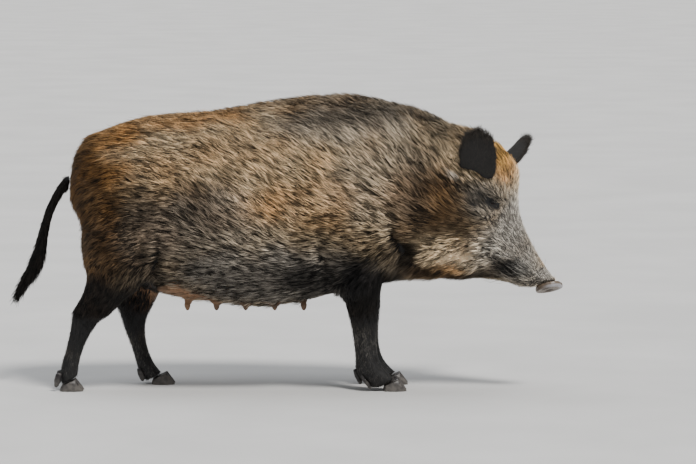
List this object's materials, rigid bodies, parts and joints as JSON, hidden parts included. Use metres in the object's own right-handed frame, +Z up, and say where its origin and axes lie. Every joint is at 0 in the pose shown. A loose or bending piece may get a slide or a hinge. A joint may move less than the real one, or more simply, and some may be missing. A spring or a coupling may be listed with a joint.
{
  "type": "wild boar sow",
  "caption": "Life-size still model of an adult wild boar sow walking with the head lowered, standing on the floor.",
  "frame": {"origin": "on the floor under the middle of the box that holds the animal", "axes": "+X towards the snout, +Z up, +Y to the animal's left"},
  "size_m": [1.2758, 0.38, 0.6913],
  "materials": {
    "bristles": "coarse bristles over dense underwool, rust brown on the back and dark grey brown below",
    "dark_hair": "short black hair of the legs, ears and tail",
    "face_hair": "short grizzled hair of the head, orange on the crown",
    "bare_skin": "bare, slightly moist grey skin of the snout disc, with a pale rim",
    "eye": "dark brown, wet and glossy",
    "hoof_horn": "dark worn horn with dried mud"
  },
  "bodies": {
    "root": {"trunk": "bristles", "neck": "bristles", "ear_right": "dark_hair", "ear_left": "dark_hair", "tail_dock": "dark_hair", "tail_tuft": "dark_hair", "foreleg_right": "dark_hair", "foreleg_left": "dark_hair", "hindleg_right": "dark_hair", "hindleg_left": "dark_hair", "head": "face_hair", "lower_jaw": "face_hair", "snout_disc": "bare_skin", "eye_right": "eye", "eye_left": "eye", "foreleg_right_claw_outer": "hoof_horn", "foreleg_right_claw_inner": "hoof_horn", "foreleg_right_dewclaw_outer": "hoof_horn", "foreleg_right_dewclaw_inner": "hoof_horn", "foreleg_left_claw_outer": "hoof_horn", "foreleg_left_claw_inner": "hoof_horn", "foreleg_left_dewclaw_outer": "hoof_horn", "foreleg_left_dewclaw_inner": "hoof_horn", "hindleg_right_claw_outer": "hoof_horn", "hindleg_right_claw_inner": "hoof_horn", "hindleg_right_dewclaw_outer": "hoof_horn", "hindleg_right_dewclaw_inner": "hoof_horn", "hindleg_left_claw_outer": "hoof_horn", "hindleg_left_claw_inner": "hoof_horn", "hindleg_left_dewclaw_outer": "hoof_horn", "hindleg_left_dewclaw_inner": "hoof_horn"}
  },
  "joints": []
}
